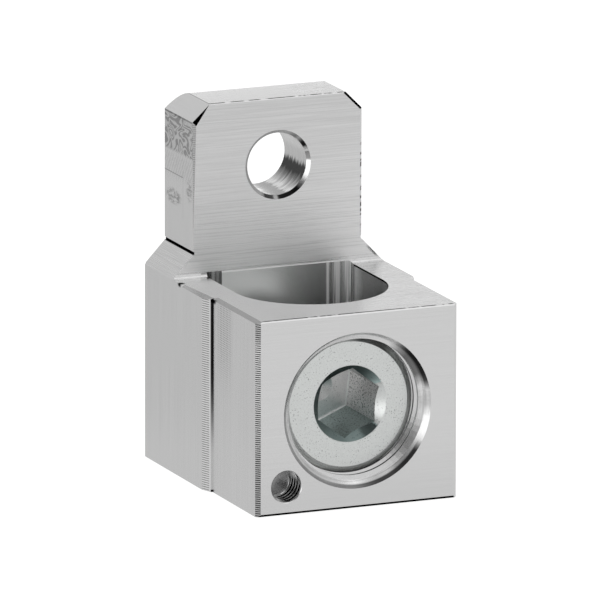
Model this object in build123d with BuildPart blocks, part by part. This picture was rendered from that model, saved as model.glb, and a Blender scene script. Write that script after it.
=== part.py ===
from build123d import *
import os

# Box terminal that joins one cable to a circuit breaker, in millimetres.
# +Z is up, the clamping screw faces -Y, and the origin is the middle of the footprint.

# Body, machined in one piece from aluminium bar
bar_width = 30.0
body_depth = 36.5
block_height = 26.0
overall_height = 49.1

# Nose, the front of the block, milled a little narrower than the bar
nose_length = 15.0
nose_side_cut = 0.8
step_bevel_along = 1.6
step_bevel_across = 0.57

# Tongue, the upright plate that is bolted to the breaker
tongue_thickness = 9.8
tongue_width = 24.1
tongue_corner = 2.3
tongue_back_round = 2.6
shoulder_height = 3.1
root_fillet = 0.6
root_groove_height = 0.45
root_groove_depth = 0.15

# Bolt hole through the tongue, for an M8 bolt
bolt_hole_diameter = 8.4
bolt_hole_from_top = 8.9
bolt_hole_chamfer = 0.45
bolt_hole_back_chamfer = 2.0

# Cable way, the U-shaped passage from top to bottom behind the screw
cable_way_wall = 4.65
cable_way_shift = 0.2
cable_way_corner = 0.5
front_wall = 6.25
back_wall_setback = 0.04

# Relief at the left rear corner of the cable way, cut into the tongue
relief_radius = 1.4
relief_forward = 0.25
relief_sweep = 122.0

# Clamping screw, M20 x 1.5, drawn at the root of its thread, a little narrower than the cable way
screw_play = 0.35
thread_depth = 0.85
thread_clearance = 0.05
screw_length = 15.0
screw_recess = 3.1
screw_axis_height = 13.2
screw_rim_chamfer = 0.8
screw_tip_chamfer = 1.2
mouth_play = 0.4
mouth_drop = 0.2

# Hexagon socket in the screw, for an 8 mm key
socket_across_flats = 8.1
socket_depth = 10.3
socket_mouth_diameter = 10.3
socket_turn = 23.0
socket_shift = 0.25
pilot_diameter = 3.8
pilot_depth = 1.1

# Small blind hole beside the screw, M5 at its tap drill size
tapped_hole_diameter = 4.2
tapped_hole_depth = 4.0
tapped_hole_from_side = 4.2
tapped_hole_height = 3.75
tapped_hole_break = 0.1

# Broken edges
nose_edge_break = 0.55
nose_top_break = 0.15
nose_bottom_break = 0.25
tongue_edge_break = 0.35
tongue_top_break = 0.08
back_edge_break = 0.3

# The left ridge is eased by hand: across is on the top, down is on the side, and it widens to the step
nose_ridge_across = 0.85
nose_ridge_down = 0.22
ridge_start = 3.2
ridge_start_across = 0.45
ridge_end_across = 1.05
ridge_down = 0.25
ridge_lead_in = 0.3

# The left edge of the tongue is eased by hand too, from its cut corner down, and runs out
left_break_side = 0.3
left_break_front = 0.42
left_break_drop = 0.45
left_break_length = 15.2

# Places that follow from the sizes above
front_face = -body_depth / 2
back_face = body_depth / 2
step_face = front_face + nose_length
tongue_front = back_face - tongue_thickness
shoulder_top = block_height + shoulder_height
nose_width = bar_width - 2 * nose_side_cut
bolt_hole_height = overall_height - bolt_hole_from_top
cable_way_radius = bar_width / 2 - cable_way_wall
cable_way_left = cable_way_shift - cable_way_radius
cable_way_right = cable_way_shift + cable_way_radius
screw_radius = cable_way_radius - screw_play
screw_root_radius = screw_radius - thread_depth
cable_way_centre = front_face + front_wall + cable_way_radius
cable_way_back = tongue_front - back_wall_setback
fillet_top = block_height + root_fillet
screw_hole_radius = screw_root_radius + thread_clearance
mouth_radius = screw_radius + mouth_play
screw_face = front_face + screw_recess
screw_tip = screw_face + screw_length
screw_axis = Axis((0, 0, screw_axis_height), (0, 1, 0))
mouth_height = screw_axis_height - mouth_drop
left_corner = (-tongue_width / 2, tongue_front, overall_height - tongue_corner)
front_plane = Plane.XZ.offset(-front_face)
tongue_plane = Plane.XZ.offset(-tongue_front)
screw_plane = Plane.XZ.offset(-screw_face)


def ridge_section(y, across, down):
    """Wedge that the eased left ridge loses, in the upright plane at y, drawn past the corner."""
    with BuildSketch(Plane.XZ.offset(-y)) as section:
        with BuildLine():
            Polyline(
                (-bar_width / 2 - across, block_height + down),
                (-bar_width / 2 + 2 * across, block_height + down),
                (-bar_width / 2 - across, block_height - 2 * down),
                close=True,
            )
        make_face()
    return section.sketch


# Sections of the hand-eased edges: the left ridge, and the left edge of the tongue at its cut corner
ridge_front = tongue_front - ridge_start
ridge_end = ridge_section(step_face, ridge_end_across, ridge_down)
ridge_begin = ridge_section(ridge_front, ridge_start_across, ridge_down)
ridge_tip = Vertex(-bar_width / 2, ridge_front + ridge_lead_in, block_height)
break_plane = Plane(
    left_corner,
    x_dir=(0, 1, 0),
    z_dir=Vector(0, 1, 0).cross(Vector(left_break_front, 0, -left_break_drop)),
)
with BuildSketch(break_plane) as left_break:
    with BuildLine():
        Polyline(
            (0, 0),
            (left_break_side, 0),
            break_plane.to_local_coords(
                Vector(left_corner) + Vector(left_break_front, 0, -left_break_drop)
            ),
            close=True,
        )
    make_face()

with BuildPart() as terminal_body:
    # Side view: the low block and the tongue that rises from its back
    with BuildSketch(Plane.YZ):
        with BuildLine():
            Polyline(
                (front_face, 0),
                (back_face, 0),
                (back_face, overall_height),
                (tongue_front, overall_height),
                (tongue_front, block_height),
                (front_face, block_height),
                close=True,
            )
        make_face()
        fillet(vertices().group_by(Axis.Y)[-1].sort_by(Axis.X)[-1], tongue_back_round)
        fillet(vertices().group_by(Axis.Y)[1].sort_by(Axis.X)[-1], root_fillet)
    extrude(amount=bar_width / 2, both=True)

    # Front view: sloping shoulders and cut top corners
    with BuildSketch(Plane.XZ):
        with BuildLine():
            Polyline(
                (0, 0),
                (bar_width / 2, 0),
                (bar_width / 2, block_height),
                (tongue_width / 2, shoulder_top),
                (tongue_width / 2, overall_height - tongue_corner),
                (tongue_width / 2 - tongue_corner, overall_height),
                (0, overall_height),
            )
            mirror(about=Plane.YZ)
        make_face()
    extrude(amount=body_depth / 2, both=True, mode=Mode.INTERSECT)

    # Top view: both sides of the nose are milled back to a bevelled step
    with BuildSketch():
        with BuildLine():
            Polyline(
                (nose_width / 2, front_face),
                (bar_width / 2, front_face),
                (bar_width / 2, step_face + step_bevel_along),
                (bar_width / 2 - step_bevel_across, step_face),
                (nose_width / 2, step_face),
                close=True,
            )
        make_face()
        mirror(about=Plane.YZ)
    extrude(amount=block_height, mode=Mode.SUBTRACT)

    # Edges of the nose
    chamfer(edges().filter_by(Axis.Z).group_by(Axis.Y)[0], nose_edge_break)
    nose_top_edge = edges().filter_by(Axis.X).group_by(Axis.Y)[0].sort_by(Axis.Z)[-1]
    chamfer(nose_top_edge, nose_top_break)
    nose_bottom_edge = edges().filter_by(Axis.X).group_by(Axis.Y)[0].sort_by(Axis.Z)[0]
    chamfer(nose_bottom_edge, nose_bottom_break)

    # Edges of the tongue's front and of the back
    tongue_edges = (
        edges()
        .filter_by_position(Axis.Y, tongue_front, tongue_front)
        .filter_by_position(Axis.Z, shoulder_top, overall_height)
    )
    right_edges = tongue_edges.filter_by_position(Axis.X, tongue_corner, tongue_width)
    chamfer(right_edges, tongue_edge_break)
    tongue_top_edge = edges().filter_by(Axis.X).group_by(Axis.Z)[-1].sort_by(Axis.Y)[0]
    chamfer(tongue_top_edge, tongue_top_break)
    chamfer(edges().filter_by(Axis.Z).group_by(Axis.Y)[-1].group_by(Axis.Z)[0], back_edge_break)

    # Left ridge, and the left edge of the tongue
    top_edges = edges().filter_by(Axis.Y).filter_by_position(Axis.Z, block_height, block_height)
    nose_ridge = top_edges.filter_by_position(Axis.X, -nose_width / 2, -nose_width / 2)
    nose_side = faces().filter_by_position(Axis.X, -nose_width / 2, -nose_width / 2)[0]
    chamfer(nose_ridge, nose_ridge_down, nose_ridge_across, reference=nose_side)
    loft([ridge_end, ridge_begin], mode=Mode.SUBTRACT)
    loft([ridge_begin, ridge_tip], mode=Mode.SUBTRACT)
    corner_top = Vertex(tongue_corner - tongue_width / 2, tongue_front, overall_height)
    loft([left_break.sketch, corner_top], mode=Mode.SUBTRACT)
    break_end = Vertex(-tongue_width / 2, tongue_front, left_corner[2] - left_break_length)
    loft([left_break.sketch, break_end], mode=Mode.SUBTRACT)

    # Fine groove at the root of each side of the tongue
    with BuildSketch(Plane.XZ):
        with Locations((tongue_width / 2, shoulder_top)):
            Rectangle(root_groove_depth, root_groove_height, align=(Align.MAX, Align.MIN))
        mirror(about=Plane.YZ)
    extrude(amount=body_depth / 2, both=True, mode=Mode.SUBTRACT)

    # Cable way, up to the top of the fillet at the root of the tongue
    with BuildSketch():
        with BuildLine():
            CenterArc((cable_way_shift, cable_way_centre), cable_way_radius, 180, 180)
            relief_centre = (cable_way_left + relief_radius, cable_way_back - relief_forward)
            relief = CenterArc(relief_centre, relief_radius, 180, -relief_sweep)
            relief_end = relief @ 1
            Line((cable_way_left, cable_way_centre), relief @ 0)
            Polyline(
                relief_end,
                (relief_end.X, cable_way_back),
                (cable_way_right, cable_way_back),
                (cable_way_right, cable_way_centre),
            )
        make_face()
        fillet(
            vertices().sort_by_distance((cable_way_right, cable_way_back, 0))[0],
            cable_way_corner,
        )
    extrude(amount=fillet_top, mode=Mode.SUBTRACT)

    # Screw hole, with its mouth cut back to the outside of the thread, a little lower than the hole
    with Locations(front_plane):
        with Locations((0, screw_axis_height)):
            Hole(screw_hole_radius, depth=front_wall + cable_way_radius)
    with BuildSketch(Plane.YZ):
        with BuildLine():
            Polyline(
                (front_face, mouth_height),
                (front_face, mouth_height + mouth_radius),
                (front_face + mouth_radius, mouth_height),
                close=True,
            )
        make_face()
    revolve(axis=Axis((0, 0, mouth_height), (0, 1, 0)), mode=Mode.SUBTRACT)

    # Bolt hole
    with Locations(tongue_plane):
        with Locations((0, bolt_hole_height)):
            Hole(bolt_hole_diameter / 2, depth=tongue_thickness)
    bolt_hole_rims = edges(Select.LAST).filter_by(GeomType.CIRCLE).sort_by(Axis.Y)
    chamfer(bolt_hole_rims[0], bolt_hole_chamfer)
    chamfer(bolt_hole_rims[-1], bolt_hole_back_chamfer)

    # Tapped hole
    with Locations(front_plane):
        with Locations((tapped_hole_from_side - nose_width / 2, tapped_hole_height)):
            Hole(tapped_hole_diameter / 2, depth=tapped_hole_depth)
    tapped_mouth = edges(Select.LAST).filter_by(GeomType.CIRCLE).sort_by(Axis.Y)[0]
    chamfer(tapped_mouth, tapped_hole_break)


with BuildPart() as clamp_screw:
    # Turned form: shank, rim and tip
    with BuildSketch(Plane.YZ):
        with BuildLine():
            screw_root_line = screw_axis_height + screw_root_radius
            Polyline(
                (screw_face, screw_axis_height),
                (screw_face, screw_root_line - screw_rim_chamfer),
                (screw_face + screw_rim_chamfer, screw_root_line),
                (screw_tip - screw_tip_chamfer, screw_root_line),
                (screw_tip, screw_root_line - screw_tip_chamfer),
                (screw_tip, screw_axis_height),
                close=True,
            )
        make_face()
    revolve(axis=screw_axis)

    # Hexagon socket
    with BuildSketch(screw_plane):
        with Locations((socket_shift, screw_axis_height)):
            RegularPolygon(socket_across_flats / 2, 6, major_radius=False, rotation=socket_turn)
    extrude(amount=-socket_depth, mode=Mode.SUBTRACT)

    # Countersunk mouth of the socket and the drill point in its floor
    with BuildSketch(Plane.YZ.offset(socket_shift)):
        with BuildLine():
            Polyline(
                (screw_face, screw_axis_height),
                (screw_face, screw_axis_height + socket_mouth_diameter / 2),
                (screw_face + socket_mouth_diameter / 2, screw_axis_height),
                close=True,
            )
        make_face()
        with BuildLine():
            Polyline(
                (screw_face + socket_depth, screw_axis_height),
                (screw_face + socket_depth, screw_axis_height + pilot_diameter / 2),
                (screw_face + socket_depth + pilot_depth, screw_axis_height),
                close=True,
            )
        make_face()
    socket_axis = Axis((socket_shift, 0, screw_axis_height), (0, 1, 0))
    revolve(axis=socket_axis, mode=Mode.SUBTRACT)

os.makedirs("parts", exist_ok=True)
terminal_body.part.label = "terminal_body"
export_step(terminal_body.part, "parts/terminal_body.step")
clamp_screw.part.label = "clamp_screw"
export_step(clamp_screw.part, "parts/clamp_screw.step")
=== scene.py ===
import math

import bmesh
import bpy
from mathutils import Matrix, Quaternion, Vector


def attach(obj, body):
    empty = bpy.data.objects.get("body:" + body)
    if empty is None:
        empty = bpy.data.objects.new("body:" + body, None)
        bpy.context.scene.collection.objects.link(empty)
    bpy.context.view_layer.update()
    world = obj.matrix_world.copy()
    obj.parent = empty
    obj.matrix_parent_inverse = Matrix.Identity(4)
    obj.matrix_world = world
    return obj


# Looks of a box terminal for a circuit breaker: machined aluminium with a plated steel screw.
# Lengths here are millimetres in the frame of the part, and MM turns them to metres.
MM = 0.001

# Places on the part
FRONT_FACE = -18.25
STEP_FACE = -3.25
TONGUE_FRONT = 8.45
BLOCK_TOP = 26.0
SHOULDER_TOP = 29.1
CUT_START = 46.8
CUT_SIDE = 9.75
TONGUE_SIDE = 12.05
NOSE_SIDE = 14.2
SEAM = 12.0
SCREW_HEIGHT = 13.2
MOUTH_HEIGHT = 13.0
MOUTH_RADIUS = 10.4
SCREW_FACE = -15.15
SCREW_TIP = -0.15
SCREW_ROOT = 9.15
SCREW_HOLE_RADIUS = 9.2
RIM_CHAMFER = 0.8
TIP_CHAMFER = 1.2
SOCKET_SHIFT = 0.25
SOCKET_FLOOR = -4.85
SOCKET_MOUTH = 5.15
PILOT_RADIUS = 1.9
BOLT_HOLE_HEIGHT = 40.2
BOLT_HOLE_RADIUS = 4.2
TAPPED_HOLE = (-10.0, 3.75)
TAPPED_HOLE_FLOOR = -14.25

# Threads: M20 x 1.5 for the clamping screw, M5 x 0.8 beside it. A groove is given by the radii it lies
# between, and the ridge starts a little inside the screw and keeps clear of its ends
SCREW_PITCH = 1.5
SCREW_CREST = 9.96
HOLE_GROOVE = (8.95, 10.0)
HOLE_GROOVE_END = -3.0
SMALL_PITCH = 0.8
SMALL_GROOVE = (1.95, 2.45)
SMALL_GROOVE_START = -18.0
THREAD_SLOPE = math.tan(math.radians(30))
ROOT_OVERLAP = 0.05
CONE_SINK = 0.04
END_GAP = 0.02
STEPS_PER_TURN = 72
FLANK_PARTS = 4
SHARP_ANGLE = 13

# Camera, fitted to the picture
CAMERA_YAW = -22.98
CAMERA_PITCH = 13.366
CAMERA_ROLL = 0.109
CAMERA_DISTANCE = 1843.3
CAMERA_TARGET = (-0.449, -0.05, 23.84)
CAMERA_LENS = 844.85
SENSOR = 36.0

# How far a surface has to face a way to count as flat on that side, and as a chamfer of a hole
FLAT = (0.9, 0.98)
CHAMFER = (0.5, 0.9)

# Levels of the metals and depths of their relief
ALUMINIUM_LEVEL = 0.88
ZINC_LEVEL = 0.90
ZINC_COLOUR = (0.975, 1.0, 0.985)
LINE_DEPTH = 0.010
GRAIN_DEPTH = 0.003
SPECKLE_DEPTH = 0.012

# Factors of painted reflection and shade round each hole, as (degrees, factor), with 0 on the right and 90
# at the top
BOLT_WALL_PAINTED_LIGHT = (
    ((-135, 1.1), (-105, 1.1), (-100, 0.62), (-72, 0.62), (-68, 1.15), (-62, 1.1), (-52, 0.80))
    + ((-40, 0.35), (-28, 0.03), (-12, 0.03), (-4, 0.9), (60, 1.0), (180, 1.0))
)
BOLT_RING_PAINTED_LIGHT = (
    ((-180, 0.7), (-118, 0.7), (-114, 0.1), (-99, 0.1), (-96, 0.5), (-91, 0.5), (-88, 0.06))
    + ((-52, 0.06), (-42, 0.5), (-30, 1.1), (2, 1.1), (5, 0.3), (18, 0.3), (20, 1.1), (27, 1.1))
    + ((30, 0.05), (38, 0.05), (44, 0.35), (48, 0.7), (54, 0.35), (62, 0.5), (68, 0.8), (180, 0.8))
)
MOUTH_PAINTED_LIGHT = (
    ((-180, 1.1), (-92, 1.1), (-84, 0.9), (-72, 0.8), (-60, 1.1), (-10, 1.1), (0, 0.8), (6, 0.9))
    + ((12, 1.1), (18, 0.6), (24, 0.2), (42, 0.15), (50, 0.4), (60, 1.1), (90, 1.0), (180, 1.1))
)
MOUTH_BRINK_PAINTED_LIGHT = (
    ((-180, 0.5), (-115, 0.4), (-90, 0.25), (-70, 0.1), (-36, 0.1), (-28, 1.0), (10, 1.0))
    + ((18, 0.15), (46, 0.15), (58, 1.0), (150, 0.8), (180, 0.5))
)
MOUTH_MATT = ((-180, 0.8), (-160, 0.9), (-130, 0.6), (-100, 0.2), (-90, 0.0), (160, 0.0), (180, 0.8))
CONE_PAINTED_LIGHT = (
    ((-180, 0.5), (-140, 0.4), (-70, 0.4), (-62, 0.18), (-42, 0.18), (-38, 1.1), (25, 1.1))
    + ((40, 0.5), (60, 0.25), (135, 0.25), (160, 0.5), (180, 0.5))
)
RIM_PAINTED_LIGHT = ((-180, 1.0), (10, 1.0), (45, 0.8), (55, 0.25), (80, 0.25), (95, 1.0), (180, 1.0))
RIM_MATT = (
    ((-180, 0.3), (-150, 0.5), (-110, 0.5), (-90, 0.6), (-70, 0.9), (-10, 0.9), (5, 0.4), (30, 0.0))
    + ((80, 0.0), (150, 0.2), (180, 0.3))
)

# Where the dark line of painted shade beside the nose starts to fade, going forward
CORNER_SHADE_FADE = (-3.35, -3.9)

# Paper on the floor: its radius and how far it lies below the part in metres, the light that it sends to
# the eye, to the metal near the part and to other surfaces, and the cards that the metal mirrors farther out
PAPER_RADIUS = 3.0
PAPER_GAP = 0.00005
PAPER_SEEN = 0.85
PAPER_NEAR = 0.62
PAPER_GLOW = 0.36
PAPER_MATT = 0.45
PAPER_FAR = (25.0, 60.0)
PAPER_CARDS_LIGHT = 2.0
PAPER_CARDS = (
    ((-180, 0.33), (-168, 0.33), (-161, 0.75), (-153, 0.75), (-146, 0.33), (-60, 0.34))
    + ((55, 0.31), (60, 0.5), (67, 0.5), (72, 0.31), (112, 0.29), (150, 0.30), (180, 0.33))
)

# The tent round the part: its light and least light, and cards by their direction, the cosines
# between which they fade in, and the light that they add
TENT_LIGHT = 0.66
TENT_DARK = 0.02
TENT_CARDS = (
    ((-0.56, -0.41, 0.70), (0.90, 0.985), -0.5),
    ((-0.377, -0.897, 0.232), (0.95, 0.985), -0.62),
    ((0.377, -0.22, 0.885), (0.97, 0.99), 0.3),
    ((-0.88, -0.43, 0.15), (0.955, 0.985), 0.6),
    ((0.44, 0.896, 0.0), (0.975, 0.992), 0.5),
)


class Signal:
    """One output socket of a finish, with Python's operators for its sums."""

    def __init__(self, finish, socket):
        self.finish = finish
        self.socket = socket

    def __add__(self, other):
        return self.finish.maths("ADD", self, other)

    def __sub__(self, other):
        return self.finish.maths("SUBTRACT", self, other)

    def __mul__(self, other):
        return self.finish.maths("MULTIPLY", self, other)

    def __truediv__(self, other):
        return self.finish.maths("DIVIDE", self, other)

    def __gt__(self, other):
        return self.finish.maths("GREATER_THAN", self, other)

    def __lt__(self, other):
        return self.finish.maths("LESS_THAN", self, other)

    def __rsub__(self, other):
        return self.finish.maths("SUBTRACT", other, self)

    def __neg__(self):
        return self.finish.maths("SUBTRACT", 0.0, self)

    def __abs__(self):
        return self.finish.maths("ABSOLUTE", self)

    __radd__ = __add__
    __rmul__ = __mul__


class Finish:
    """A material or a world, with its nodes."""

    def __init__(self, holder):
        holder.use_nodes = True
        self.holder = holder
        self.tree = holder.node_tree
        self.tree.nodes.clear()

    def node(self, kind, settings, *values, output=0, **named):
        made = self.tree.nodes.new(kind)
        for key, value in settings.items():
            if key == "stops":
                self.set_stops(made.color_ramp, value)
            else:
                setattr(made, key, value)
        for place, value in [*enumerate(values), *named.items()]:
            name = place.replace("_", " ") if isinstance(place, str) else place
            self.feed(made.inputs[name], value)
        return Signal(self, made.outputs[output]) if len(made.outputs) else None

    def feed(self, socket, value):
        """Link a signal to a socket, or set the socket to a plain value."""
        if isinstance(value, Signal):
            self.tree.links.new(value.socket, socket)
        elif value is not None:
            socket.default_value = value

    def maths(self, operation, *values):
        return self.node("ShaderNodeMath", {"operation": operation}, *values)

    def vector(self, operation, *values, output=0):
        return self.node("ShaderNodeVectorMath", {"operation": operation}, *values, output=output)

    def set_stops(self, ramp, stops):
        while len(ramp.elements) < len(stops):
            ramp.elements.new(1.0)
        for element, (place, value) in zip(ramp.elements, stops):
            element.position = place
            element.color = (value, value, value, 1.0)

    def dial(self, angle, stops):
        """A number that changes with an angle, from (degrees, number) stops from -180 to 180."""
        places = [(degrees / 360 + 0.5, value) for degrees, value in stops]
        turned = angle / math.tau + 0.5
        return self.node("ShaderNodeValToRGB", {"stops": places}, turned)

    def place(self):
        """Object coordinates in millimetres, as a vector and as three numbers."""
        at = self.node("ShaderNodeTexCoord", {}, output="Object")
        scaled = self.node("ShaderNodeVectorMath", {"operation": "SCALE"}, at, Scale=1 / MM)
        return scaled, *self.split(scaled)

    def split(self, vector):
        node = self.node("ShaderNodeSeparateXYZ", {}, vector).socket.node
        return [Signal(self, node.outputs[k]) for k in range(3)]

    def facing(self):
        """The surface's own direction, as three numbers."""
        return self.split(self.node("ShaderNodeTexCoord", {}, output="Normal"))

    def point(self, x, y, z):
        return self.node("ShaderNodeCombineXYZ", {}, x, y, z)

    def round_place(self, x, z, centre):
        """Distance and angle about an axis along Y."""
        across = x - centre[0]
        up = z - centre[1]
        radius = self.maths("SQRT", across * across + up * up)
        return radius, self.maths("ARCTAN2", up, across)

    def noise(self, at, scale, detail=2.0, rough=0.5, distortion=0.0):
        return self.node(
            "ShaderNodeTexNoise",
            {"normalize": True},
            Vector=at,
            Scale=scale,
            Detail=detail,
            Roughness=rough,
            Distortion=distortion,
        )

    def streaks(self, at, stretch, detail=3.0):
        """Noise drawn out along a direction. Stretch is how fast it changes along each axis."""
        return self.noise(self.vector("MULTIPLY", at, stretch), 1.0, detail, 0.6)

    def smooth(self, value, start, end):
        return self.node(
            "ShaderNodeMapRange",
            {"interpolation_type": "SMOOTHSTEP"},
            Value=value,
            From_Min=start,
            From_Max=end,
        )

    def between(self, value, low, high, soft=0.05):
        """1 where value lies from low to high, with soft ends."""
        rise = self.smooth(value, low - soft, low + soft)
        fall = self.smooth(value, high - soft, high + soft)
        return rise * (1 - fall)

    def spot(self, at, centre, reach, core=0.3):
        """1 in the middle of an ellipsoid about centre, fading out to its reach."""
        drawn = self.vector("DIVIDE", self.vector("SUBTRACT", at, centre), reach)
        return 1 - self.smooth(self.vector("LENGTH", drawn, output="Value"), core, 1.0)

    def mix(self, share, first, second):
        made = self.tree.nodes.new("ShaderNodeMix")
        made.data_type = "FLOAT"
        for place, value in zip((0, 2, 3), (share, first, second)):
            self.feed(made.inputs[place], value)
        return Signal(self, made.outputs[0])

    def shade(self, share, factor):
        """A factor that holds where share is 1, and none where it is 0."""
        return self.mix(share, 1.0, factor)

    def tint(self, share, first, second):
        made = self.tree.nodes.new("ShaderNodeMix")
        made.data_type = "RGBA"
        for place, value in zip((0, 6, 7), (share, first, second)):
            self.feed(made.inputs[place], (*value, 1.0) if isinstance(value, tuple) else value)
        return Signal(self, made.outputs[2])

    def scaled(self, colour, level):
        return self.node("ShaderNodeVectorMath", {"operation": "SCALE"}, colour, Scale=level)

    def flag(self, direction, towards, start, end):
        """1 in a round patch of the world about a direction."""
        unit = tuple(Vector(towards).normalized())
        return self.smooth(self.vector("DOT_PRODUCT", direction, unit, output="Value"), start, end)

    def bump(self, height, depth, under=None):
        return self.node(
            "ShaderNodeBump", {}, Strength=1.0, Distance=depth * MM, Height=height, Normal=under
        )

    def surface(self, black=None, **sockets):
        seen = self.node("ShaderNodeBsdfPrincipled", {}, **sockets)
        if black:
            void = self.node("ShaderNodeBsdfDiffuse", {}, (0.0, 0.0, 0.0, 1.0))
            seen = self.node("ShaderNodeMixShader", {}, self.maths("MINIMUM", black, 1.0), seen, void)
        self.node("ShaderNodeOutputMaterial", {}, seen)
        return self.holder


class Aluminium(Finish):
    """Milled bar: brushed on its faces, turned in its holes, marked by the cutters at its edges, with
    painted reflections and shade on its faces, holes and edges.
    """

    def __init__(self):
        super().__init__(bpy.data.materials.new("machined_aluminium"))
        self.at, self.x, self.y, self.z = self.place()
        self.nx, self.ny, self.nz = self.facing()
        self.ways = {"left": -self.nx, "right": self.nx, "front": -self.ny, "up": self.nz, "down": -self.nz}
        self.front = self.turned(front=FLAT)
        self.top = self.turned(up=FLAT)
        self.side = self.smooth(abs(self.nx), *FLAT)
        self.slope = self.between(abs(self.nx), 0.5, 0.85) * self.between(self.nz, 0.5, 0.85)
        self.low = self.z < SHOULDER_TOP
        self.high = self.z > SHOULDER_TOP
        self.grain = self.noise(self.at, 7.0, 3.0, 0.6)
        self.dashes = self.smooth(self.streaks(self.at, (1.2, 0.2, 0.2), 1.0), 0.38, 0.5)
        # Share of black: painted shade and dark reflections in holes, creases and edges, with real chips and
        # torn spots
        self.black = 0.0
        # Share where the metal turns matt, used with the painted light in the holes and the cable way
        self.matt = 0.0

    def turned(self, **ways):
        """1 where the surface looks each of these ways, fading in between the two limits of each."""
        product = None
        for way, limits in ways.items():
            share = self.smooth(self.ways[way], *limits)
            product = product * share if product else share
        return product

    def ripple(self, along, pitch, wander=0.5):
        """Evenly spaced cutter marks, from 0 to 1."""
        waver = (self.noise(self.at, 1.5, 2.0) - 0.5) * 6.0 * wander + self.grain * 2.0 * wander
        return self.maths("SINE", along * (math.tau / pitch) + waver) * 0.5 + 0.5

    def brushing(self):
        """Fine lines of each face, above and below 0, as strong as they show there."""
        across = self.streaks(self.at, (0.06, 0.4, 5.0)) * 0.5
        across = across + self.streaks(self.at, (0.13, 1.0, 14.0)) * 0.7 - 0.1
        flat = self.streaks(self.at, (0.07, 5.0, 0.4)) * 0.5
        flat = flat + self.streaks(self.at, (0.25, 13.0, 1.0)) * 0.5
        upright = self.streaks(self.at, (2.0, 4.0, 0.06))
        sloping = self.streaks(self.at, (7.0, 0.1, 7.0))
        lines = self.mix(self.top, self.mix(self.slope, upright, sloping), flat)
        lines = self.mix(self.front, lines, across)
        on_tongue = self.front * (self.z > BLOCK_TOP + 0.4)
        tongue_foot = 1 - self.smooth(self.z, 33.0, 38.0)
        on_right = self.smooth(self.x, 2.0, 6.0)
        strength = 0.3 + on_tongue * (1.0 + tongue_foot * 1.2) + self.top * (0.5 + on_right * 2.2)
        return (lines - 0.5) * (strength + self.slope * self.low * 0.9 + self.side * 0.1)

    def bolt_hole(self):
        """Painted reflections: a dark band with a jagged edge on the turned wall, black and bright arcs on
        the chamfer.
        """
        radius, angle = self.round_place(self.x, self.z, (0, BOLT_HOLE_HEIGHT))
        near = self.between(radius, BOLT_HOLE_RADIUS - 0.3, BOLT_HOLE_RADIUS + 0.6)
        near = near * (self.y > TONGUE_FRONT - 0.15)
        wall = near * (1 - self.smooth(abs(self.ny), 0.3, 0.5))
        ring = near * self.between(-self.ny, *CHAMFER)
        jagged = self.streaks(self.point(angle, self.y, 0), (1.0, 2.4, 1.0)) - 0.5
        turned = self.streaks(self.point(angle, self.y, 0), (0.5, 1.7, 1.0)) - 0.5
        wall_painted_light = self.dial(angle + jagged * 0.5, BOLT_WALL_PAINTED_LIGHT)
        streaked = 0.1 + self.between(angle, -1.2, -0.55, 0.1) * 1.4
        self.matt = self.matt + ring * (1 - self.between(angle, -2.1, 0.68)) * 0.85
        self.black = self.black + ring * self.between(angle, -1.52, -0.85, 0.06) * 0.7
        ring_painted_light = self.dial(angle, BOLT_RING_PAINTED_LIGHT)
        return self.shade(wall, wall_painted_light * (1 + turned * streaked)) * self.shade(ring, ring_painted_light)

    def screw_mouth(self):
        """Turned chamfer round the screw with painted reflections, chattered on its right, and painted
        shadows on the wall behind it.
        """
        radius, angle = self.round_place(self.x, self.z, (0, MOUTH_HEIGHT))
        ring = self.between(radius, SCREW_HOLE_RADIUS - 0.3, MOUTH_RADIUS + 0.1)
        ring = ring * (self.y < FRONT_FACE + 1.35) * self.between(-self.ny, *CHAMFER)
        turned = self.streaks(self.point(angle, radius, 0), (0.8, 4.0, 1.0)) - 0.5
        chatter = self.streaks(self.point(angle, radius, 0), (40.0, 0.6, 1.0)) - 0.5
        chatter = chatter * self.between(angle, 0.0, 0.6, 0.1)
        brink = self.smooth(radius, MOUTH_RADIUS - 0.55, MOUTH_RADIUS - 0.35)
        level = self.dial(angle, MOUTH_PAINTED_LIGHT) * self.shade(brink, self.dial(angle, MOUTH_BRINK_PAINTED_LIGHT))
        self.matt = self.matt + ring * self.dial(angle, MOUTH_MATT)
        wall = self.between(radius, SCREW_HOLE_RADIUS - 0.4, SCREW_HOLE_RADIUS + 0.4, 0.02)
        wall = wall * (1 - self.smooth(abs(self.ny), 0.4, 0.6))
        outer_part = self.between(self.y, -16.5, SCREW_FACE - 0.1) * self.between(angle, -1.5, 0.0, 0.2)
        inner_part = self.between(self.y, SCREW_FACE - 0.15, SCREW_FACE + 1.25, 0.1)
        inner_part = inner_part * self.between(angle, -1.9, 1.0, 0.2)
        inner_part = inner_part * (1 - self.between(angle, -1.0, -0.1, 0.15) * 0.8)
        self.black = self.black + wall * (outer_part * 0.8 + inner_part * 0.55)
        return self.shade(ring, level * (1 + turned * 1.3 + chatter * 0.5))

    def tapped_hole(self):
        """Painted shade in the hole: a dark floor and black flanks at the lower right."""
        radius, angle = self.round_place(self.x, self.z, TAPPED_HOLE)
        inside = (radius < SMALL_GROOVE[1] + 0.15) * (self.y > FRONT_FACE + 0.15)
        inside = inside * (self.y < TAPPED_HOLE_FLOOR + 0.1)
        flank = inside * self.between(-self.ny, 0.5, 0.93, 0.03)
        self.black = self.black + flank * self.between(angle, -1.7, 0.3, 0.3)
        return self.shade(inside, self.mix(self.front, 1.05, 0.45 + self.grain * 0.3))

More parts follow.
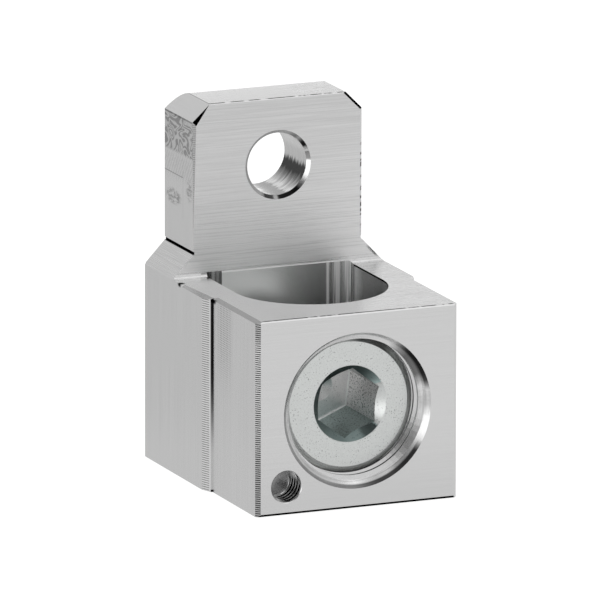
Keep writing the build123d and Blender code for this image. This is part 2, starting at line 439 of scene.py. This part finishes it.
    def nose_edges(self):
        """Chattered upright edge; painted shade on the grey left ridge, black corner spots and black bottom
        edge; the dashed line on top, partly burr and partly painted shade.
        """
        edge = self.turned(left=(0.4, 0.6), front=(0.4, 0.6)) * self.low * (self.x < -NOSE_SIDE + 1.2)
        chatter = self.ripple(self.z, 0.28, 0.4) + (self.grain - 0.5) * 0.6
        chatter = self.smooth(chatter, 0.2, 0.8) * self.mix(self.smooth(self.z, 22.5, 24.5), 0.68, 0.45)
        ridge = self.between(self.nz, 0.75, 0.995, 0.003) * self.turned(left=(0.08, 0.12)) * self.low
        corners = self.spot(self.at, (-NOSE_SIDE - 0.3, STEP_FACE - 0.65, 25.7), (0.9, 0.8, 0.5))
        corners = corners + self.spot(self.at, (-14.8, 6.1, 25.9), (0.8, 0.8, 0.5))
        under = self.turned(down=(0.4, 0.6), front=(0.4, 0.6)) * (self.z < 0.5)
        under = under + self.front * (self.z < 0.33)
        lip = self.top * self.between(self.y, FRONT_FACE + 0.23, FRONT_FACE + 0.65, 0.02) * self.dashes
        # Painted shade at the corner spots and the bottom edge; the dashed top line is partly burr and
        # partly painted shade
        self.black = self.black + corners + under + lip * 0.8
        return self.shade(edge, 0.03 + chatter) * self.shade(ridge, 0.62)

    def step(self):
        """Bevel beside the nose with the cutter's level marks and a painted highlight by the step, and the
        dark line of painted shade down its corner.
        """
        bevel = self.between(abs(self.nx), 0.88, 0.98, 0.02) * self.low * (self.y < STEP_FACE + 1.85)
        marks = self.ripple(self.z, 0.30, 0.1) * 0.9 + self.streaks(self.at, (0.2, 3.0, 0.2)) * 0.4
        bevel_level = self.mix(self.smooth(self.y, STEP_FACE + 0.35, STEP_FACE + 0.25), 0.25 + marks, 1.1)
        corner = self.low * self.between(self.y, STEP_FACE - 0.5, STEP_FACE + 0.05)
        corner = corner * (self.x > -NOSE_SIDE - 0.25) * (self.x < -NOSE_SIDE + 0.2)
        fade = self.smooth(self.z, 4.0, 17.0) * (1 - self.smooth(self.y, *CORNER_SHADE_FADE) * 0.6)
        self.black = self.black + corner * fade * 0.9
        dots = self.ripple(self.z, 0.3, 0.4) * self.ripple(self.y, 0.5, 0.4)
        dotted = self.side * self.low * self.between(self.y, -9.5, -5.2, 1.0)
        dotted = dotted * self.smooth(self.z, 12.0, 22.0)
        return self.shade(bevel, bevel_level) * self.shade(dotted, 1 - dots * 0.6)

    def tongue_edges(self):
        """Black groove at the left root painted as its shadow, black corner facets as painted dark
        reflections, a line of painted shade along the fold on top, notched left edge, and dashes and torn
        spots along the others, the front lip's dashes partly painted shade.
        """
        groove = self.between(self.z, SHOULDER_TOP - 0.03, SHOULDER_TOP + 0.32, 0.02)
        groove = groove * self.between(-self.x, TONGUE_SIDE - 0.4, TONGUE_SIDE + 0.2) * (1 - self.front)
        notches = self.ripple(self.z, 0.25, 0.6)
        edge = self.turned(left=(0.35, 0.5), front=(0.6, 0.75)) * self.high
        edge = edge * (self.x < -TONGUE_SIDE + 1.05) * (self.z < CUT_START - 0.1)
        left_corner = self.turned(left=(0.03, 0.08), front=(0.1, 0.2), up=(0.03, 0.08))
        right_corner = self.turned(right=(0.2, 0.4), front=(0.1, 0.2), up=(0.2, 0.4))
        corners = (left_corner + right_corner) * (self.z > CUT_START - 0.5)
        lip = self.top * self.high * self.between(self.y, TONGUE_FRONT + 0.1, TONGUE_FRONT + 0.55)
        lip = lip * self.dashes
        fold = self.top * self.high * self.between(self.x, -CUT_SIDE - 0.2, -CUT_SIDE + 0.2, 0.03)
        right_edge = self.turned(right=(0.3, 0.5), front=(0.3, 0.5)) * self.high
        right_edge = right_edge * (self.x > TONGUE_SIDE - 1.05)
        dotted = right_edge * self.smooth(self.streaks(self.at, (0.2, 0.2, 3.2), 1.0), 0.48, 0.56)
        dotted = dotted * self.between(self.z, 31.0, 42.0, 2.0)
        torn = self.spot(self.at, (13.6, TONGUE_FRONT, 27.5), (1.4, 0.8, 1.3), 0.4)
        torn = torn * self.smooth(self.x + self.z, 40.5, 40.8) * self.smooth(self.grain, 0.35, 0.5)
        # Painted shade in the groove and painted dark reflections on the corners; the dashes and torn spots
        # are marks, the lip's dashes partly painted shade
        self.black = self.black + groove + corners + (dotted + torn + lip) * 0.8
        return self.shade(fold, 0.35) * self.shade(edge, 0.35 + notches * 0.35)

    def tongue_side(self):
        """The cutter's swirl on the left side of the tongue, with scratches, smudges and two faint lines."""
        left_side = self.side * self.high * (self.x < 0)
        curled = self.point(self.y * 0.7 + self.z * 0.4, self.z, self.maths("SIGN", self.y - SEAM))
        arcs = self.maths("SINE", self.noise(curled, 0.35, 1.0, 0.5, 1.0) * 50.0) * 0.5 + 0.5
        swirl = self.between(self.z, 41.8, 47.5, 0.3) * (0.25 + self.smooth(arcs, 0.2, 0.9) * 0.75)
        scratches = self.ripple(self.y * 1.5 + self.z, 1.1, 1.0) * self.between(self.z, 38.4, 41.6, 0.8)
        patchy = self.smooth(self.streaks(self.at, (1.0, 1.0, 3.0)), 0.38, 0.6)
        low_smudge = self.spot(self.at, (-TONGUE_SIDE, 15.2, 35.6), (1.0, 3.2, 1.3), 0.5)
        side_smudge = self.spot(self.at, (-TONGUE_SIDE, 9.8, 37.3), (1.0, 1.4, 1.9))
        line = self.between(self.z, 38.67, 38.78, 0.02) * (self.y > SEAM)
        seam = self.between(self.y, SEAM - 0.07, SEAM + 0.05, 0.03) * self.between(self.z, 33.0, 46.5)
        brink = self.between(self.z, CUT_START - 0.25, CUT_START, 0.03)
        level = self.shade(left_side * swirl, 0.42) * self.shade(left_side * scratches, 0.85)
        level = level * self.shade(low_smudge * patchy, 0.5) * self.shade(side_smudge * patchy, 0.55)
        level = level * self.shade(left_side * line, 0.45) * self.shade(left_side * seam, 0.85)
        return level * self.shade(left_side * brink, 0.5)

    def cable_way(self):
        """Polished walls with soft bands of painted reflection and painted highlights on the rear wall, and
        painted shade on the right wall and in the relief.
        """
        inside = self.between(self.x, -11.0, 11.4, 0.2) * self.between(self.y, -12.3, 9.8, 0.1)
        inside = inside * (self.z < BLOCK_TOP + 0.58) * (1 - self.smooth(abs(self.nz), 0.3, 0.6))
        bands = self.streaks(self.at, (1.6, 1.6, 0.03), 2.0)
        rear = inside * self.front
        right = inside * self.turned(left=(0.8, 0.95))
        line = self.between(self.x, 6.9, 7.3, 0.15)
        dark_reflection = self.between(self.x, 0.8, 6.3, 1.6)
        bright = self.between(self.x, 7.6, 10.3, 0.5) * self.smooth(bands, 0.50, 0.62)
        rear_painted_light = 1.1 - self.smooth(self.x, -2.0, 2.0) * 0.1 - dark_reflection * 0.15
        rear_painted_light = rear_painted_light * (1 + line * 0.6) * (0.9 + bright * 0.4)
        right_painted_shade = self.mix(self.smooth(self.y, 4.0, 7.5), 0.45, 1.0)
        relief = inside * self.between(self.x, -11.0, -8.35, 0.03)
        # The painted highlight line and bands turn matt, and painted shade lies black along the top of the
        # right wall
        self.matt = self.matt + rear * self.maths("MAXIMUM", line, bright) * 0.8
        self.black = self.black + right * (self.z > BLOCK_TOP - 0.25) * (self.y < 7.8)
        return self.shade(rear, rear_painted_light) * self.shade(right, right_painted_shade) * self.shade(relief, 0.5)

    def finished(self):
        lines = self.brushing()
        # Painted light and shade: the tongue's front lighter at its foot and darker towards its top, and the
        # sides, slopes and top darker than the front, the low top more so on the right
        tongue_painted_light = self.mix(self.smooth(self.z, 30.0, 48.0), 1.08, 0.96)
        level = ALUMINIUM_LEVEL * (1 + lines * 0.45) * (1 + (self.grain - 0.5) * 0.08)
        level = level * self.shade(self.side, 0.90) * self.shade(self.slope, self.mix(self.low, 0.90, 0.84))
        level = level * self.shade(self.top, 0.95 - self.smooth(self.x, 2.0, 6.0) * self.low * 0.04)
        level = level * self.shade(self.front * (self.z > BLOCK_TOP + 1), tongue_painted_light)
        for factor in (
            self.bolt_hole(),
            self.screw_mouth(),
            self.tapped_hole(),
            self.nose_edges(),
            self.step(),
            self.tongue_edges(),
            self.tongue_side(),
            self.cable_way(),
        ):
            level = level * factor
        relief = self.bump(lines, LINE_DEPTH, self.bump(self.grain, GRAIN_DEPTH))
        rough = 0.26 + lines * 0.12 + self.front * self.smooth(self.z, BLOCK_TOP, SHOULDER_TOP) * 0.14
        return self.surface(
            black=self.black,
            Base_Color=self.scaled(self.point(1.0, 1.0, 1.0), self.maths("MINIMUM", level, 0.97)),
            Metallic=1 - self.maths("MINIMUM", self.matt, 1.0),
            Roughness=rough,
            Normal=relief,
        )


class PlatedSteel(Finish):
    """Pale zinc plating, speckled, darker with painted shade and tinted down in the socket, with painted
    reflections round its rim.
    """

    def __init__(self):
        super().__init__(bpy.data.materials.new("zinc_plated_steel"))
        self.at, self.x, self.y, self.z = self.place()
        self.nx, self.ny, self.nz = self.facing()
        self.cloud = self.noise(self.at, 0.9, 3.0, 0.6)
        self.speckle = self.noise(self.at, 4.5, 3.0, 0.75)

    def socket(self, radius, angle):
        """Darker pitted walls, a greenish lower one darkened as painted shade, a drill point darkened as
        painted shade, painted reflections on the cone and a painted highlight along the bottom corner.
        """
        down = self.smooth(self.y, SCREW_FACE + 0.02, SCREW_FACE + 0.08) * (radius < SOCKET_MOUTH + 0.15)
        cone = down * self.between(-self.ny, 0.25, 0.9) * (radius > 3.5)
        deep = down * (1 - cone)
        floor = deep * self.smooth(-self.ny, 0.8, 0.95)
        pilot = deep * (radius < PILOT_RADIUS) * (self.y > SOCKET_FLOOR - 0.1)
        right = deep * self.smooth(-self.nx, 0.3, 0.8)
        lower = deep * self.smooth(self.nz, 0.5, 0.9)
        # Painted highlight along the bottom corner
        corner = deep * self.smooth(self.y, SOCKET_FLOOR - 0.4, SOCKET_FLOOR - 0.25) * (1 - floor)
        cone_painted_light = self.dial(angle, CONE_PAINTED_LIGHT)
        pits = self.smooth(self.noise(self.at, 4.5, 2.0, 0.6), 0.54, 0.60)
        level = self.shade(lower, 0.5 - pits * 0.25) * self.shade(right, 1.0 - pits * 0.65)
        level = level * self.shade(pilot, 0.55) * self.shade(cone, cone_painted_light)
        greenish = self.maths("MAXIMUM", lower, cone * (cone_painted_light < 0.9))
        colour = self.tint(greenish, ZINC_COLOUR, (0.80, 1.0, 0.98))
        colour = self.tint(right * 0.8, colour, (1.0, 0.95, 0.96))
        return self.tint(corner, colour, (1.0, 1.0, 1.0)), self.mix(corner, level, 1.1)

    def finished(self):
        radius, angle = self.round_place(self.x, self.z, (SOCKET_SHIFT, SCREW_HEIGHT))
        specks = self.smooth(self.speckle, 0.58, 0.63)
        specks = specks * (0.3 + self.smooth(self.cloud, 0.42, 0.62) * 0.7)
        mottle = (self.cloud - 0.5) * 0.12 + (self.noise(self.at, 6.0, 3.0, 0.7) - 0.5) * 0.35
        colour, socket_level = self.socket(radius, angle)
        # Painted reflections round the rim's chamfer, with its turning rings
        rim = self.between(-self.ny, *CHAMFER) * (radius > 8.2) * (self.y < SCREW_FACE + 1.0)
        rings = self.streaks(self.point(angle, radius, 0), (0.6, 5.0, 1.0)) - 0.5
        rim_painted_light = self.dial(angle, RIM_PAINTED_LIGHT) * (1.05 + rings * 2.0)
        level = (ZINC_LEVEL - specks * 0.5) * (1 + mottle) * socket_level * self.shade(rim, rim_painted_light)
        return self.surface(
            Base_Color=self.scaled(colour, self.maths("MINIMUM", level, 1.0)),
            Metallic=1 - rim * self.dial(angle, RIM_MATT),
            Roughness=0.34 + (self.cloud - 0.5) * 0.15,
            Normal=self.bump(self.speckle, SPECKLE_DEPTH),
        )


def new_piece(name, shape, finish, body):
    mesh = bpy.data.meshes.new(name)
    shape.to_mesh(mesh)
    shape.free()
    piece = bpy.data.objects.new(name, mesh)
    bpy.context.scene.collection.objects.link(piece)
    if finish:
        mesh.materials.append(finish)
    if body:
        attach(piece, body)
    return piece


def helix(outline, centre, pitch, turns):
    """A bar of the given (along, radius) outline, wound right-handed about an axis along Y."""
    shape = bmesh.new()
    corners = [shape.verts.new(((centre[0] + r) * MM, y * MM, centre[1] * MM)) for y, r in outline]
    section = shape.faces.new(corners)
    steps = round(turns * STEPS_PER_TURN)
    bmesh.ops.spin(
        shape,
        geom=[section, *section.edges, *section.verts],
        cent=(centre[0] * MM, 0, centre[1] * MM),
        axis=(0, 1, 0),
        dvec=(0, pitch * MM * turns / steps, 0),
        angle=math.tau * turns,
        steps=steps,
        use_duplicate=False,
    )
    bmesh.ops.recalc_face_normals(shape, faces=shape.faces)
    return shape


def thread_outline(middle, low, high, flat, parts=1):
    """A 60 degree thread's section about middle, flat wide at radius high, its slopes cut in parts."""
    outline = []
    for side in (-1, 1):
        slope = []
        for k in range(parts + 1):
            radius = low + (high - low) * k / parts
            slope.append((middle + side * (flat / 2 + (high - radius) * THREAD_SLOPE), radius))
        outline += slope if side < 0 else reversed(slope)
    return outline


def screw_thread(finish):
    """The ridge on the screw, cut back to the chamfers at both its ends."""
    middle = SCREW_FACE - SCREW_PITCH / 2
    turns = (SCREW_TIP - SCREW_FACE) / SCREW_PITCH + 1
    outline = thread_outline(middle, SCREW_ROOT - ROOT_OVERLAP, SCREW_CREST, SCREW_PITCH / 8, FLANK_PARTS)
    shape = helix(outline, (0, SCREW_HEIGHT), SCREW_PITCH, turns)
    for corner in shape.verts:
        across = corner.co.x / MM
        up = corner.co.z / MM - SCREW_HEIGHT
        along = min(max(corner.co.y / MM, SCREW_FACE + END_GAP), SCREW_TIP - END_GAP)
        radius = math.hypot(across, up)
        front_cone = SCREW_ROOT - RIM_CHAMFER + along - SCREW_FACE - CONE_SINK
        tip_cone = SCREW_ROOT - TIP_CHAMFER + SCREW_TIP - along - CONE_SINK
        share = min(radius, front_cone, tip_cone) / radius
        corner.co = Vector((across * share, along, SCREW_HEIGHT + up * share)) * MM
    piece = new_piece("screw_thread", shape, finish, "screw")
    split_edges(piece)
    return piece


def split_edges(piece):
    """Smooth shading with sharp edges kept."""
    for face in piece.data.polygons:
        face.use_smooth = True
    edges = piece.modifiers.new("sharp_edges", "EDGE_SPLIT")
    edges.split_angle = math.radians(SHARP_ANGLE)


def cut_thread(body, name, centre, radii, pitch, start, end):
    """A helical groove, cut into the wall of a hole by a hidden cutter."""
    middle = start + pitch / 2
    turns = (end - start) / pitch
    shape = helix(thread_outline(middle, *radii, pitch / 8), centre, pitch, turns)
    cutter = new_piece(name, shape, None, "terminal")
    cutter.hide_render = True
    cut = body.modifiers.new(name, "BOOLEAN")
    cut.operation = "DIFFERENCE"
    cut.solver = "EXACT"
    cut.object = cutter


def tap_holes(body):
    weld = body.modifiers.new("weld", "WELD")
    weld.merge_threshold = 0.0001 * MM
    start = SCREW_FACE - 3 * SCREW_PITCH
    cut_thread(body, "screw_groove", (0, SCREW_HEIGHT), HOLE_GROOVE, SCREW_PITCH, start, HOLE_GROOVE_END)
    small = (SMALL_GROOVE, SMALL_PITCH, SMALL_GROOVE_START, TAPPED_HOLE_FLOOR - SMALL_PITCH / 2)
    cut_thread(body, "small_groove", TAPPED_HOLE, *small)
    split_edges(body)


def paper():
    """White paper that keeps the part's shadow; the metal mirrors cards that lie about it."""
    floor = Finish(bpy.data.materials.new("pale_floor"))
    at, x, y, z = floor.place()
    path = floor.node("ShaderNodeLightPath", {}).socket.node
    seen = Signal(floor, path.outputs["Is Camera Ray"])
    mirrored = Signal(floor, path.outputs["Is Glossy Ray"])
    far = floor.smooth(floor.maths("SQRT", x * x + y * y), *PAPER_FAR)
    cards = floor.dial(floor.maths("ARCTAN2", y, x), PAPER_CARDS)
    lit = floor.mix(far, PAPER_NEAR, cards * PAPER_CARDS_LIGHT)
    glow = floor.mix(seen, floor.mix(mirrored, PAPER_GLOW, lit), PAPER_SEEN)
    matt = floor.mix(mirrored, PAPER_MATT, 0.0)
    return floor.surface(
        Base_Color=floor.point(matt, matt, matt),
        Roughness=1.0,
        Specular_IOR_Level=0.0,
        Emission_Color=floor.point(glow, glow, glow),
        Emission_Strength=1.0,
    )


def studio():
    floor_shape = bmesh.new()
    bmesh.ops.create_circle(floor_shape, cap_ends=True, segments=64, radius=PAPER_RADIUS)
    bmesh.ops.translate(floor_shape, verts=floor_shape.verts, vec=(0, 0, -PAPER_GAP))
    new_piece("floor", floor_shape, paper(), None)

    world = bpy.data.worlds.new("studio")
    bpy.context.scene.world = world
    tent = Finish(world)
    direction = tent.node("ShaderNodeTexCoord", {}, output="Generated")
    light = TENT_LIGHT
    for towards, limits, added in TENT_CARDS:
        light = light + tent.flag(direction, towards, *limits) * added
    seen = tent.node("ShaderNodeLightPath", {}, output="Is Camera Ray")
    level = tent.mix(seen, tent.maths("MAXIMUM", light, TENT_DARK), 1.0)
    sky = tent.node("ShaderNodeBackground", {}, tent.point(level, level, level), 1.0)
    tent.node("ShaderNodeOutputWorld", {}, sky)


def camera():
    yaw = math.radians(CAMERA_YAW)
    pitch = math.radians(CAMERA_PITCH)
    back = Vector(
        (math.sin(yaw) * math.cos(pitch), -math.cos(yaw) * math.cos(pitch), math.sin(pitch))
    )
    data = bpy.data.cameras.new("camera")
    data.lens = CAMERA_LENS
    data.sensor_width = SENSOR
    data.clip_start = 0.1
    data.clip_end = 20.0
    made = bpy.data.objects.new("camera", data)
    bpy.context.scene.collection.objects.link(made)
    made.location = (Vector(CAMERA_TARGET) + back * CAMERA_DISTANCE) * MM
    made.rotation_mode = "QUATERNION"
    roll = Quaternion((0, 0, 1), math.radians(CAMERA_ROLL))
    made.rotation_quaternion = (-back).to_track_quat("-Z", "Y") @ roll
    bpy.context.scene.camera = made


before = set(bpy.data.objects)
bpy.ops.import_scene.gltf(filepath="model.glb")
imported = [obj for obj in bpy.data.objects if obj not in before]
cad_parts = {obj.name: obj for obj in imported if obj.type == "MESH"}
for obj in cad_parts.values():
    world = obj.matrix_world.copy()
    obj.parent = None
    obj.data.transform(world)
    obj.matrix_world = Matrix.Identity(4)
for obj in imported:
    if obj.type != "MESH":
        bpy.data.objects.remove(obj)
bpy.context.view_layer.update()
camera()
studio()
aluminium = Aluminium().finished()
steel = PlatedSteel().finished()
for node, finish in (("terminal_body", aluminium), ("clamp_screw", steel)):
    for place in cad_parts[node].material_slots:
        place.material = finish
tap_holes(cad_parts["terminal_body"])
screw_thread(steel)
bpy.context.scene.view_settings.view_transform = "Standard"
